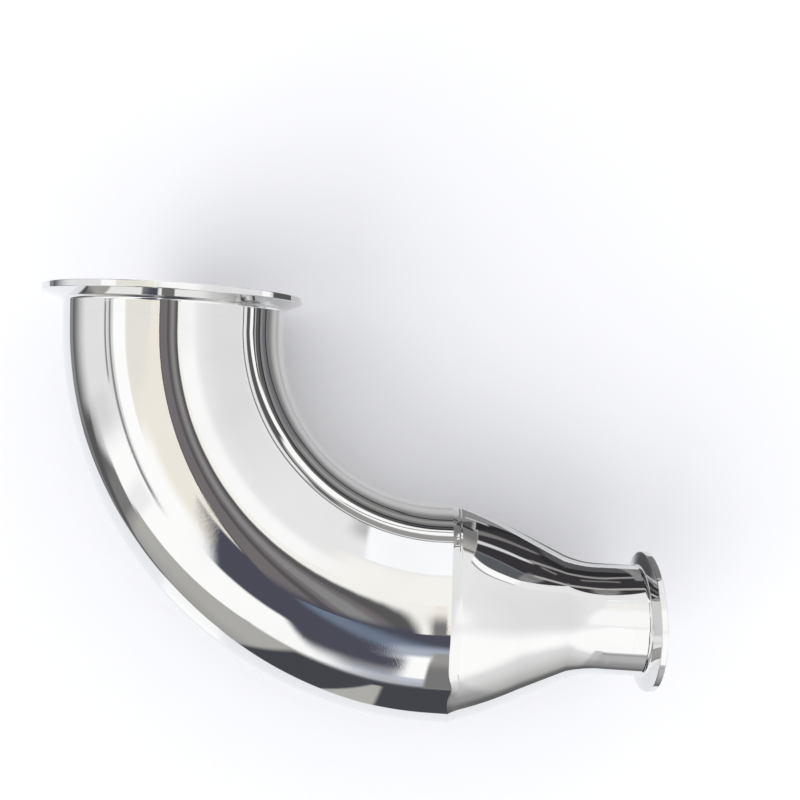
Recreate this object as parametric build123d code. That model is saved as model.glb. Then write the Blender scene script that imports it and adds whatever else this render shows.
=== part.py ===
from build123d import *
import os
from math import acos, atan2, cos, hypot, radians, sin, sqrt, tan

# Reducing elbow for sanitary tube: a 90 degree bend in 4 inch tube, a concentric reducer down to
# 2 inch tube and a clamp ferrule on each port, welded into one rigid fitting. Millimetres.
#
# The origin is the centre of the large ferrule's face. The large port points along +Y and the
# small port along +X. The centreline lies in the XY plane, so +Z is its normal.

# Large port
large_tube_od = 101.6
large_wall = 2.11
large_flange_od = 118.9
large_groove_diameter = 110.3

# Small port
small_tube_od = 50.8
small_wall = 1.65
small_flange_od = 63.9
small_groove_diameter = 56.3

# Clamp ferrule, of one section on both ports
ferrule_length = 12.7
rim_thickness = 2.85
rim_chamfer = 0.3
bevel_angle = 20.0
bevel_fillet_radius = 1.9
groove_radius = 2.34
groove_depth = 1.6

# Bend, with a short straight at each end
bend_radius = 129.0
bend_angle = 90.0
bend_inlet_length = 5.3
bend_outlet_length = 7.2

# Girth weld between bend and reducer, dressed and polished to a shallow valley
weld_width = 4.6
weld_valley_depth = 0.12

# Concentric reducer: convex shoulder, straight cone, concave neck and straight tail. The weld
# cuts the shoulder where it already slopes by shoulder_angle.
shoulder_angle = 16.0
shoulder_radius = 180.0
cone_angle = 24.8
neck_radius = 43.0
reducer_tail_length = 11.2


def nearest_corners(section, places):
    """Vertices of a flat section at the given (x, y) places."""
    return [section.vertices().sort_by_distance((x, y, 0))[0] for x, y in places]


def ferrule(tube_od, wall, flange_od, groove_diameter):
    """Clamp ferrule turned about Z, with its face at the origin and its neck along -Z."""
    tube_radius = tube_od / 2
    bore_radius = tube_radius - wall
    flange_radius = flange_od / 2
    bevel_length = (flange_radius - tube_radius) * tan(radians(bevel_angle))
    rim_corners = [(flange_radius, 0), (flange_radius, -rim_thickness)]
    bevel_foot = (tube_radius, -rim_thickness - bevel_length)
    groove_centre = (groove_diameter / 2, groove_radius - groove_depth)

    outline = Polyline(
        (bore_radius, 0),
        *rim_corners,
        bevel_foot,
        (tube_radius, -ferrule_length),
        (bore_radius, -ferrule_length),
        close=True,
    )
    section = make_face(outline) - Pos(*groove_centre) * Circle(groove_radius)
    section = fillet(nearest_corners(section, [bevel_foot]), bevel_fillet_radius)
    section = chamfer(nearest_corners(section, rim_corners), rim_chamfer)
    return revolve(Plane.XZ * section, Axis.Z)


def bend_route():
    """Centreline of the bend, from the back of the large ferrule to the weld."""
    inlet = Line((0, -ferrule_length), (0, -ferrule_length - bend_inlet_length))
    turn = JernArc(inlet @ 1, inlet % 1, bend_radius, bend_angle)
    outlet = Line(turn @ 1, turn @ 1 + (turn % 1) * bend_outlet_length)
    return inlet + turn + outlet


def bend(route):
    """Hollow tube swept along the bend's centreline."""
    tube_radius = large_tube_od / 2
    wall_section = Circle(tube_radius) - Circle(tube_radius - large_wall)
    return sweep(Plane(route @ 0, z_dir=route % 0) * wall_section, path=route)


# Reducer meridian in its own plane: x runs along the small port's axis from the end of the bend,
# and y is the radius. The outer surface fixes the centres of the shoulder and neck arcs.
shoulder_slope = radians(shoulder_angle)
cone_slope = radians(cone_angle)
reducer_start_radius = large_tube_od / 2 - weld_width * tan(shoulder_slope)
shoulder_centre = (
    weld_width - shoulder_radius * sin(shoulder_slope),
    reducer_start_radius - shoulder_radius * cos(shoulder_slope),
)
neck_centre_radius = small_tube_od / 2 + neck_radius
arcs_apart = shoulder_radius + neck_radius
arcs_rise = neck_centre_radius - shoulder_centre[1]
neck_centre = (
    shoulder_centre[0] + (arcs_apart - arcs_rise * cos(cone_slope)) / sin(cone_slope),
    neck_centre_radius,
)
reducer_end = neck_centre[0] + reducer_tail_length


def start_radius(wall):
    """Radius of the reducer at its large end, one wall inside the outer surface."""
    run = weld_width - shoulder_centre[0]
    return shoulder_centre[1] + sqrt((shoulder_radius - wall) ** 2 - run**2)


def meridian(shoulder_wall, neck_wall):
    """Meridian line of one reducer surface, the given walls inside the outer surface."""
    shoulder_arc = shoulder_radius - shoulder_wall
    neck_arc = neck_radius + neck_wall
    run = neck_centre[0] - shoulder_centre[0]
    rise = neck_centre[1] - shoulder_centre[1]
    slope = atan2(run, rise) - acos((shoulder_arc + neck_arc) / hypot(run, rise))
    along_cone = Vector(cos(slope), -sin(slope))
    across_cone = Vector(sin(slope), cos(slope))
    cone_start = Vector(*shoulder_centre) + across_cone * shoulder_arc
    cone_end = Vector(*neck_centre) - across_cone * neck_arc
    tail_start = Vector(neck_centre[0], neck_centre[1] - neck_arc)
    start = Vector(weld_width, start_radius(shoulder_wall))
    spoke = start - Vector(*shoulder_centre)
    shoulder = TangentArc(start, cone_start, tangent=(spoke.Y, -spoke.X))
    cone = Line(cone_start, cone_end)
    neck = TangentArc(cone_end, tail_start, tangent=along_cone)
    tail = Line(tail_start, (reducer_end, tail_start.Y))
    return shoulder + cone + neck + tail


def reducer():
    """Concentric reducer whose wall thins evenly from the large tube's to the small tube's."""
    outer = meridian(0, 0)
    inner = meridian(large_wall, small_wall)
    ends = Line(outer @ 0, inner @ 0) + Line(outer @ 1, inner @ 1)
    return revolve(make_face(outer + inner + ends), Axis.X)


def girth_weld():
    """Weld ring that turns the bend's cylinder into the reducer's shoulder."""
    outer_start = (0, large_tube_od / 2)
    outer_end = (weld_width, start_radius(0))
    inner_start = (0, large_tube_od / 2 - large_wall)
    inner_end = (weld_width, start_radius(large_wall))
    valley = SagittaArc(outer_start, outer_end, -weld_valley_depth)
    root = Polyline(outer_end, inner_end, inner_start, outer_start)
    return revolve(make_face(valley + root), Axis.X)


route = bend_route()
small_axis = Plane(route @ 1, x_dir=route % 1, z_dir=(0, 0, 1))
small_face = small_axis.from_local_coords(Vector(reducer_end + ferrule_length, 0, 0))

nodes = {
    "large_ferrule": Plane.ZX
    * ferrule(large_tube_od, large_wall, large_flange_od, large_groove_diameter),
    "bend": bend(route),
    "girth_weld": small_axis * girth_weld(),
    "reducer": small_axis * reducer(),
    "small_ferrule": Plane(small_face, z_dir=route % 1)
    * ferrule(small_tube_od, small_wall, small_flange_od, small_groove_diameter),
}

os.makedirs("parts", exist_ok=True)
for name, shape in nodes.items():
    shape.label = name
    export_step(shape, f"parts/{name}.step")
    print(f"{name}: {shape.volume / 1000:.2f} cm3")
print(f"small face at x {small_face.X:.2f}, y {small_face.Y:.2f}")
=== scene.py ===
import logging
import math
from collections.abc import Sequence
from dataclasses import dataclass, field, replace
from enum import Enum

import bpy
import numpy as np
from mathutils import Matrix, Vector


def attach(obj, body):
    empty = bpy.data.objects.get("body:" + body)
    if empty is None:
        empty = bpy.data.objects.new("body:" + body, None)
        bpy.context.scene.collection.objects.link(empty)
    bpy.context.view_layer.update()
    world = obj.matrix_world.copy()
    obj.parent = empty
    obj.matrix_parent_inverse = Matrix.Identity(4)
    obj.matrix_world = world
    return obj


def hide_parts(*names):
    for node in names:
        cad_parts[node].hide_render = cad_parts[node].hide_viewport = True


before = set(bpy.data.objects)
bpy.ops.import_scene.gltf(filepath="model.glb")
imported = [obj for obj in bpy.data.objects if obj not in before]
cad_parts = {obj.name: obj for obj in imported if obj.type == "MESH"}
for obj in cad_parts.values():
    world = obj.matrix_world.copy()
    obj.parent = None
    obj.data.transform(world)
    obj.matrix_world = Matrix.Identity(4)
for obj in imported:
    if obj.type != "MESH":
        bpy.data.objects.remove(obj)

log = logging.getLogger("reducing_elbow")

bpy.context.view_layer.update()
BODY = "root"
MM = 0.001

# Mesh attributes that the steel reads.
POLISH_LINES = "polish_lines"
BORE = "bore"

# A turned face belongs to the bore where its normal points at the axis by this much.
FACES_AXIS = -0.88

STEEL_REFLECTANCE = 0.80
MIRROR_BOUNCES = 12
UPWARD = np.array([0.0, 0.0, 1.0])

Pair = tuple[float, float]
Triple = tuple[float, float, float]
Colour = tuple[float, float, float, float]
Socket = bpy.types.NodeSocket
Value = Socket | float
Shade = Socket | Sequence[float]


@dataclass(frozen=True)
class TubeSize:
    """Standard sizes of one port: tube, wall, clamp flange and middle of the gasket groove."""

    diameter: float
    wall: float
    flange: float
    groove: float


LARGE = TubeSize(101.6 * MM, 2.11 * MM, 118.9 * MM, 110.3 * MM)
SMALL = TubeSize(50.8 * MM, 1.65 * MM, 63.9 * MM, 56.3 * MM)


class Tone(Enum):
    """Brightness of one part of the studio, as 8 bit colour seen in polished steel."""

    WHITE = (252, 252, 252)
    COOL_WHITE = (248, 250, 253)
    IVORY = (244, 242, 238)
    CREAM = (236, 231, 221)
    OLD_CREAM = (227, 225, 217)
    PALE = (231, 231, 232)
    SHEET = (230, 232, 236)
    LIGHT = (224, 224, 226)
    SOFT_GREY = (214, 214, 215)
    LAVENDER = (196, 201, 213)
    SILVER = (188, 188, 190)
    WARM_GREY = (172, 171, 168)
    ASH = (150, 149, 148)
    MID_GREY = (134, 134, 135)
    DIM = (120, 119, 119)
    BLUE = (112, 125, 144)
    TAUPE = (113, 108, 110)
    SLATE = (104, 108, 114)
    GUNMETAL = (88, 90, 94)
    IRON = (86, 86, 87)
    DUSK = (75, 76, 88)
    CHARCOAL = (67, 69, 75)
    SOOT = (55, 53, 56)
    NEAR_BLACK = (44, 43, 46)


def radiance(tone: Tone) -> Colour:
    """Light that polished steel turns into the tone.

    Args:
        tone: The tone as it is seen in the steel.

    Returns:
        Linear colour with an alpha of one.
    """
    linear = []
    # Standard curve from the levels of a display to linear light.
    for level in tone.value:
        share = level / 255
        value = share / 12.92 if share <= 0.04045 else ((share + 0.055) / 1.055) ** 2.4
        linear.append(value / STEEL_REFLECTANCE)
    return (linear[0], linear[1], linear[2], 1.0)


class NodeSheet:
    """Short calls for the nodes of one material or world."""

    # Shares of its reach where a patch begins to fade and where it has gone.
    PATCH_CORE = 0.35
    PATCH_EDGE = 1.1

    # Places of the colours among the sockets of the mix node.
    COLOUR_BELOW = 6
    COLOUR_ABOVE = 7
    COLOUR_MIXED = 2

    def __init__(self, tree: bpy.types.NodeTree) -> None:
        """Starts with the given tree, emptied."""
        self.tree = tree
        tree.nodes.clear()

    def join(self, source: Value | Sequence[float], target: Socket) -> None:
        """Links a socket to an input, or sets the input to a number or colour.

        Args:
            source: Output socket, number or colour.
            target: Input socket.
        """
        if isinstance(source, Socket):
            self.tree.links.new(source, target)
        else:
            target.default_value = source

    def fill(self, node: bpy.types.Node, *values: Value | Sequence[float]) -> bpy.types.Node:
        """Links or sets a node's first inputs, in their order.

        Args:
            node: The node.
            values: Output sockets, numbers or colours.

        Returns:
            The node.
        """
        for source, target in zip(values, node.inputs):
            self.join(source, target)
        return node

    def add(self, kind: str, *values: Value | Sequence[float]) -> bpy.types.Node:
        """New node of the given type, with its first inputs filled."""
        return self.fill(self.tree.nodes.new(kind), *values)

    def calc(
        self, operation: str, first: Value, second: Value = 0.0, third: Value = 0.0
    ) -> Socket:
        """Math node.

        Args:
            operation: Name of the operation.
            first: First value.
            second: Second value.
            third: Third value.

        Returns:
            The result socket.
        """
        node = self.add("ShaderNodeMath")
        node.operation = operation
        return self.fill(node, first, second, third).outputs[0]

    def rise(
        self, value: Socket, start: float, end: float, low: float = 0.0, high: float = 1.0
    ) -> Socket:
        """Smooth step between two values, clamped at both ends.

        Args:
            value: The value that is measured.
            start: Where the step begins.
            end: Where the step ends.
            low: Result before the step.
            high: Result after the step.

        Returns:
            The result socket.
        """
        node = self.add("ShaderNodeMapRange", value, start, end, low, high)
        node.interpolation_type = "SMOOTHSTEP"
        node.clamp = True
        return node.outputs[0]

    def blend(self, share: Socket, below: Shade, above: Shade) -> Socket:
        """Colour mix.

        Args:
            share: Share of the colour above.
            below: Colour at a share of none.
            above: Colour at a full share.

        Returns:
            The result socket.
        """
        node = self.add("ShaderNodeMix", share)
        node.data_type = "RGBA"
        self.join(below, node.inputs[self.COLOUR_BELOW])
        self.join(above, node.inputs[self.COLOUR_ABOVE])
        return node.outputs[self.COLOUR_MIXED]

    def stretch(self, vector: Socket, scale: Triple, turn: Triple = (0.0, 0.0, 0.0)) -> Socket:
        """The vector scaled and turned on each axis, in radians."""
        return self.add("ShaderNodeMapping", vector, (0.0, 0.0, 0.0), turn, scale).outputs[0]

    def vector(
        self, operation: str, first: Socket, second: Triple = (0.0, 0.0, 0.0)
    ) -> bpy.types.NodeOutputs:
        """Vector math node.

        Args:
            operation: Name of the operation.
            first: First vector.
            second: Second vector.

        Returns:
            The node's outputs.
        """
        node = self.add("ShaderNodeVectorMath")
        node.operation = operation
        return self.fill(node, first, second).outputs

    def split(self, vector: Socket) -> bpy.types.NodeOutputs:
        """The three parts of a vector."""
        return self.add("ShaderNodeSeparateXYZ", vector).outputs

    def place(self) -> Socket:
        """Place on the object, in metres."""
        return self.add("ShaderNodeTexCoord").outputs["Object"]

    def attribute(self, name: str) -> bpy.types.NodeOutputs:
        """Mesh attribute in each of its forms.

        Args:
            name: Name of the attribute.

        Returns:
            The node's outputs.
        """
        node = self.add("ShaderNodeAttribute")
        node.attribute_name = name
        return node.outputs

    def cover(self, share: Socket, below: Socket, above: Socket) -> Socket:
        """Mix of two shaders, by the share of the one above."""
        return self.add("ShaderNodeMixShader", share, below, above).outputs[0]

    def patch(self, place: Socket, centre: Triple, reach: Triple) -> Socket:
        """Share of a soft round patch.

        Args:
            place: Where the patch is read.
            centre: Middle of the patch.
            reach: How far it reaches on each axis.

        Returns:
            One in the middle, none outside.
        """
        offset = self.vector("SUBTRACT", place, centre)[0]
        distance = self.vector("LENGTH", self.vector("DIVIDE", offset, reach)[0])["Value"]
        return self.rise(distance, self.PATCH_CORE, self.PATCH_EDGE, 1.0, 0.0)

    def noise(self, vector: Socket, scale: float, detail: float = 2.0) -> Socket:
        """Noise from none to one.

        Args:
            vector: Where the noise is read.
            scale: Waves per unit of the vector.
            detail: Octaves added to the first.

        Returns:
            The noise value.
        """
        node = self.add("ShaderNodeTexNoise")
        self.join(vector, node.inputs["Vector"])
        node.inputs["Scale"].default_value = scale
        node.inputs["Detail"].default_value = detail
        return node.outputs["Fac"]


def new_material(name: str) -> tuple[bpy.types.Material, NodeSheet]:
    """New node material.

    Args:
        name: Its name.

    Returns:
        The material and its empty sheet.
    """
    material = bpy.data.materials.new(name)
    material.use_nodes = True
    return material, NodeSheet(material.node_tree)


def add_object(name: str, data: bpy.types.ID) -> bpy.types.Object:
    """New object in the scene.

    Args:
        name: Its name.
        data: Mesh, light or camera that it holds.

    Returns:
        The object.
    """
    thing = bpy.data.objects.new(name, data)
    bpy.context.scene.collection.objects.link(thing)
    return thing


def wheel(directions: np.ndarray, angles: np.ndarray) -> np.ndarray:
    """Spokes square to each direction, counted from the level one.

    Args:
        directions: Directions, one row each.
        angles: Angles round them.

    Returns:
        Unit spokes, directions by angles by three.
    """
    sideways = np.cross(directions, UPWARD)[:, None, :]
    return np.cos(angles)[:, None] * sideways + np.sin(angles)[:, None] * UPWARD


def along_and_round(
    along: np.ndarray, radius: np.ndarray | float, angles: np.ndarray
) -> np.ndarray:
    """Places along a piece and round it, for the polish lines.

    Args:
        along: Place along the piece.
        radius: Radius there.
        angles: Angle round the piece.

    Returns:
        The places, rows by angles by three.
    """
    places = (along, radius * np.cos(angles), radius * np.sin(angles))
    return np.stack(np.broadcast_arrays(*places), axis=-1)


@dataclass(frozen=True)
class Corner:
    """Corner of a turned section: place along the axis, radius from it and rounding, in metres."""

    along: float
    radius: float
    rounding: float


def rounded_outline(corners: Sequence[Corner], step: float = 9.0) -> tuple[np.ndarray, np.ndarray]:
    """Closed outline with each corner rounded by an arc that touches both its sides.

    Args:
        corners: Corners in order, anticlockwise with the axis to the right and radius upwards.
        step: Turn between two points of an arc, in degrees.

    Returns:
        Points and outward normals, one row each.
    """
    places = np.array([(c.along, c.radius) for c in corners])
    ahead = np.roll(places, -1, axis=0) - places
    ahead /= np.linalg.norm(ahead, axis=1, keepdims=True)
    points, normals = [], []
    for index, corner in enumerate(corners):
        arriving, leaving = ahead[index - 1], ahead[index]
        cross = arriving[0] * leaving[1] - arriving[1] * leaving[0]
        turn = math.atan2(cross, float(arriving @ leaving))
        reach = corner.rounding * math.tan(abs(turn) / 2)
        first_normal = np.array([arriving[1], -arriving[0]])
        side = 1.0 if turn > 0 else -1.0
        centre = places[index] - arriving * reach - side * first_normal * corner.rounding
        pieces = max(2, math.ceil(abs(math.degrees(turn)) / step))
        for piece in range(pieces + 1):
            angle = turn * piece / pieces
            normal = np.array(
                [
                    first_normal[0] * math.cos(angle) - first_normal[1] * math.sin(angle),
                    first_normal[0] * math.sin(angle) + first_normal[1] * math.cos(angle),
                ]
            )
            points.append(centre + side * normal * corner.rounding)
            normals.append(normal)
    return np.array(points), np.array(normals)


def lattice_mesh(
    name: str,
    finish: bpy.types.Material,
    points: np.ndarray,
    normals: np.ndarray,
    lines: np.ndarray,
    bore: np.ndarray,
) -> bpy.types.Object:
    """Closed ring of quads through a lattice that wraps both ways, with its exact normals.

    Args:
        name: Name of the piece.
        finish: Material that dresses it.
        points: Vertex places, rows by columns by three.
        normals: Outward normals, as the points.
        lines: Place along the piece and round it, as the points, for the polish lines.
        bore: Whether each row lies on the inner surface.

    Returns:
        The new object.
    """
    rows, columns = points.shape[:2]
    index = np.arange(rows * columns).reshape(rows, columns)
    right = np.roll(index, -1, axis=1)
    quads = np.stack(
        [index, right, np.roll(right, -1, axis=0), np.roll(index, -1, axis=0)], axis=-1
    ).reshape(-1, 4)
    flat = points.reshape(-1, 3)
    first = quads[0]
    face_normal = np.cross(flat[first[1]] - flat[first[0]], flat[first[3]] - flat[first[0]])
    if float(face_normal @ normals.reshape(-1, 3)[first[0]]) < 0:
        quads = quads[:, ::-1]
    mesh = bpy.data.meshes.new(name)
    mesh.from_pydata(flat.tolist(), [], quads.tolist())
    mesh.polygons.foreach_set("use_smooth", np.ones(len(quads), dtype=bool))
    mesh.normals_split_custom_set_from_vertices(normals.reshape(-1, 3).tolist())
    attribute = mesh.attributes.new(POLISH_LINES, "FLOAT_VECTOR", "POINT")
    attribute.data.foreach_set("vector", lines.reshape(-1).astype(np.float32))
    inner = mesh.attributes.new(BORE, "FLOAT", "POINT")
    inner.data.foreach_set("value", np.repeat(bore, columns).astype(np.float32))
    mesh.update()
    mesh.materials.append(finish)
    return add_object(name, mesh)


@dataclass(frozen=True)
class Port:
    """Place of a port: the centre of its face and the way that it points."""

    centre: Vector
    outward: Vector

    def turned(
        self, along: np.ndarray, radius: np.ndarray, columns: int
    ) -> tuple[np.ndarray, np.ndarray]:
        """Turns points round the port's axis.

        Args:
            along: Place of each row along the axis, outward.
            radius: Radius of each row.
            columns: Number of steps round the axis.

        Returns:
            Points, and places along and round the piece, rows by columns by three.
        """
        axis = np.array(self.outward)
        angles = np.linspace(0, 2 * math.pi, columns, endpoint=False)
        ring = wheel(axis[None], angles) * radius[:, None, None]
        points = np.array(self.centre) + axis * along[:, None, None] + ring
        return points, along_and_round(along[:, None], radius[:, None], angles)

    def turn(
        self,
        name: str,
        finish: bpy.types.Material,
        points: np.ndarray,
        normals: np.ndarray,
        columns: int,
    ) -> bpy.types.Object:
        """Turns a closed section into a piece.

        Args:
            name: Name of the piece.
            finish: Material that dresses it.
            points: Section points, along and radius.
            normals: Section normals, along and radius.
            columns: Number of steps round the axis.

        Returns:
            The new object.
        """
        places, lines = self.turned(points[:, 0], points[:, 1], columns)
        tips, _ = self.turned(
            points[:, 0] + normals[:, 0] * MM, points[:, 1] + normals[:, 1] * MM, columns
        )
        bore = normals[:, 1] < FACES_AXIS
        return lattice_mesh(name, finish, places, (tips - places) / MM, lines, bore)


@dataclass(frozen=True)
class Scuff:
    """Patch that the buffing wheel left a little rough: its centre and reach on each axis."""

    centre: Triple
    reach: Triple


@dataclass(frozen=True)
class PolishedSteel:
    """Mirror polished stainless steel with a fine grain and a slow waviness."""

    name: str
    colour: Triple = (0.80, 0.80, 0.795)
    roughness: float = 0.025
    roughness_spread: float = 0.02
    bore_roughness: float = 0.3
    grain_width: float = 0.4 * MM
    grain_length: float = 0.7 * MM
    grain_depth: float = 0.001 * MM
    scuff_depth: float = 0.0105 * MM
    wave_length: float = 14 * MM
    wave_depth: float = 0.012 * MM
    tarnish_length: float = 30 * MM
    tarnish_span: Pair = (0.3, 0.75)
    tarnished_share: float = 0.965
    ring_width: float = 0.32 * MM
    ring_depth: float = 0.003 * MM
    turned_rings: bool = False
    scuffs: tuple[Scuff, ...] = ()

    def scuffed(self, sheet: NodeSheet) -> Value:
        """Share of scuffing at each place.

        Args:
            sheet: Nodes of the material.

        Returns:
            None to one.
        """
        place = sheet.place()
        total: Value = 0.0
        for scuff in self.scuffs:
            total = sheet.calc("MAXIMUM", sheet.patch(place, scuff.centre, scuff.reach), total)
        return total

    def rings(self, sheet: NodeSheet, place: Socket) -> Socket:
        """Fine rings left by the lathe.

        Args:
            sheet: Nodes of the material.
            place: Place along and round the piece.

        Returns:
            None to one.
        """
        parts = sheet.split(place)
        squares = [sheet.calc("POWER", parts[axis], 2.0) for axis in (1, 2)]
        radius = sheet.calc("SQRT", sheet.calc("ADD", *squares))
        section = sheet.add("ShaderNodeCombineXYZ", parts[0], radius)
        return sheet.noise(section.outputs[0], 1 / self.ring_width)

    def make(self) -> bpy.types.Material:
        """Builds the node material.

        Returns:
            The material.
        """
        material, sheet = new_material(self.name)
        shader = sheet.add("ShaderNodeBsdfPrincipled")
        sheet.add("ShaderNodeOutputMaterial", shader.outputs[0])
        shader.inputs["Metallic"].default_value = 1.0
        place = sheet.attribute(POLISH_LINES)["Vector"]

        tarnish = sheet.noise(place, 1 / self.tarnish_length, detail=3.0)
        darker = tuple(self.tarnished_share * share for share in self.colour)
        share = sheet.rise(tarnish, *self.tarnish_span)
        colour = sheet.blend(share, (*self.colour, 1.0), (*darker, 1.0))
        sheet.join(colour, shader.inputs["Base Color"])

        around = 1 / self.grain_length
        grain = sheet.noise(sheet.stretch(place, (1 / self.grain_width, around, around)), 1.0)
        scuffed = self.scuffed(sheet)
        rough = sheet.calc("MULTIPLY_ADD", scuffed, self.roughness_spread, self.roughness)
        bore = sheet.attribute(BORE)["Fac"]
        rough = sheet.calc("MULTIPLY_ADD", bore, self.bore_roughness, rough)
        sheet.join(rough, shader.inputs["Roughness"])

        depth = sheet.calc("MULTIPLY_ADD", scuffed, self.scuff_depth, self.grain_depth)
        height = sheet.calc("MULTIPLY", grain, depth)
        waves = sheet.noise(place, 1 / self.wave_length, detail=1.0)
        height = sheet.calc("MULTIPLY_ADD", waves, self.wave_depth, height)
        if self.turned_rings:
            height = sheet.calc("MULTIPLY_ADD", self.rings(sheet, place), self.ring_depth, height)
        bump = sheet.add("ShaderNodeBump")
        bump.inputs["Strength"].default_value = 1.0
        bump.inputs["Distance"].default_value = 1.0
        sheet.join(height, bump.inputs["Height"])
        sheet.join(bump.outputs[0], shader.inputs["Normal"])
        return material


BEND_SCUFFS = (
    Scuff((32 * MM, -100 * MM, 50 * MM), (9 * MM, 18 * MM, 12 * MM)),
    Scuff((93 * MM, -152 * MM, 49 * MM), (30 * MM, 16 * MM, 16 * MM)),
    Scuff((-6 * MM, -71 * MM, 48 * MM), (9 * MM, 12 * MM, 10 * MM)),
    Scuff((14 * MM, -90 * MM, 50 * MM), (7 * MM, 12 * MM, 10 * MM)),
)


@dataclass
class Ferrule:
    """Clamp ferrule turned from bar: rim, bevel, gasket groove, bore and neck."""

    piece_name: str
    port: Port
    tube: TubeSize
    finish: bpy.types.Material
    length: float = 12.7 * MM
    rim_thickness: float = 2.85 * MM
    rim_rounding: float = 0.4 * MM
    bevel_angle: float = 20.0
    bevel_rounding: float = 1.9 * MM
    groove_half_width: float = 2.22 * MM
    groove_side_angle: float = 55.3
    groove_root_rounding: float = 2.1 * MM
    groove_edge_rounding: float = 0.3 * MM
    bore_rounding: float = 0.2 * MM
    back_rounding: float = 0.02 * MM
    columns: int = 360

    def section(self) -> list[Corner]:
        """Corners of the turned section.

        Returns:
            The corners, from the bore's mouth round by the rim to the bore again.
        """
        tube_radius = self.tube.diameter / 2
        bore_radius = tube_radius - self.tube.wall
        flange_radius = self.tube.flange / 2
        groove_radius = self.tube.groove / 2
        bevel_length = (flange_radius - tube_radius) * math.tan(math.radians(self.bevel_angle))
        root = self.groove_half_width * math.tan(math.radians(self.groove_side_angle))
        return [
            Corner(-self.length, bore_radius, self.back_rounding),
            Corner(0.0, bore_radius, self.bore_rounding),
            Corner(0.0, groove_radius - self.groove_half_width, self.groove_edge_rounding),
            Corner(-root, groove_radius, self.groove_root_rounding),
            Corner(0.0, groove_radius + self.groove_half_width, self.groove_edge_rounding),
            Corner(0.0, flange_radius, self.rim_rounding),
            Corner(-self.rim_thickness, flange_radius, self.rim_rounding),
            Corner(-self.rim_thickness - bevel_length, tube_radius, self.bevel_rounding),
            Corner(-self.length, tube_radius, self.back_rounding),
        ]

    def build(self) -> bpy.types.Object:
        """Builds and dresses the ferrule.

        Returns:
            The finished piece.
        """
        points, normals = rounded_outline(self.section())
        return self.port.turn(self.piece_name, self.finish, points, normals, self.columns)


@dataclass
class TubeBend:
    """Bend in the large tube, with its short straight at each end."""

    finish: bpy.types.Material
    tube: TubeSize = LARGE
    radius: float = 129.0 * MM
    start: float = Ferrule.length
    inlet: float = 5.3 * MM
    outlet: float = 7.2 * MM
    stations: int = 165
    columns: int = 288

    @classmethod
    def outlet_port(cls) -> Port:
        """Place where the bend ends and the weld begins."""
        end = (cls.radius + cls.outlet, -cls.start - cls.inlet - cls.radius, 0.0)
        return Port(Vector(end), Vector((1.0, 0.0, 0.0)))

    def route(self) -> tuple[np.ndarray, np.ndarray, np.ndarray]:
        """Centreline from the large ferrule to the weld.

        Returns:
            Distance along, places and directions.
        """
        arc = self.radius * math.pi / 2
        round_bend = np.linspace(0.0, arc, self.stations + 1)
        distance = np.concatenate([[-self.inlet], round_bend, [arc + self.outlet]])
        turn = np.clip(distance / self.radius, 0.0, math.pi / 2)
        before = np.minimum(distance, 0.0)
        after = np.maximum(distance - arc, 0.0)
        places = np.stack(
            [
                self.radius * (1 - np.cos(turn)) + after,
                -self.start - self.inlet - self.radius * np.sin(turn) - before,
                np.zeros_like(turn),
            ],
            axis=-1,
        )
        directions = np.stack([np.sin(turn), -np.cos(turn), np.zeros_like(turn)], axis=-1)
        return distance, places, directions

    def skin(self, radius: float) -> tuple[np.ndarray, np.ndarray, np.ndarray]:
        """One surface of the tube.

        Args:
            radius: Radius of the surface.

        Returns:
            Points, outward spokes, and places along and round, rows by columns by three.
        """
        distance, places, directions = self.route()
        angles = np.linspace(0, 2 * math.pi, self.columns, endpoint=False)
        spokes = wheel(directions, angles)
        lines = along_and_round(distance[:, None], radius, angles)
        return places[:, None, :] + spokes * radius, spokes, lines

    def build(self) -> bpy.types.Object:
        """Builds and dresses the bend.

        Returns:
            The finished piece.
        """
        outer = self.skin(self.tube.diameter / 2)
        inner = self.skin(self.tube.diameter / 2 - self.tube.wall)
        points = np.concatenate([outer[0], inner[0][::-1]])
        normals = np.concatenate([outer[1], -inner[1][::-1]])
        lines = np.concatenate([outer[2], inner[2][::-1]])
        bore = np.repeat([False, True], len(points) // 2)
        return lattice_mesh("bend_tube", self.finish, points, normals, lines, bore)


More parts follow.
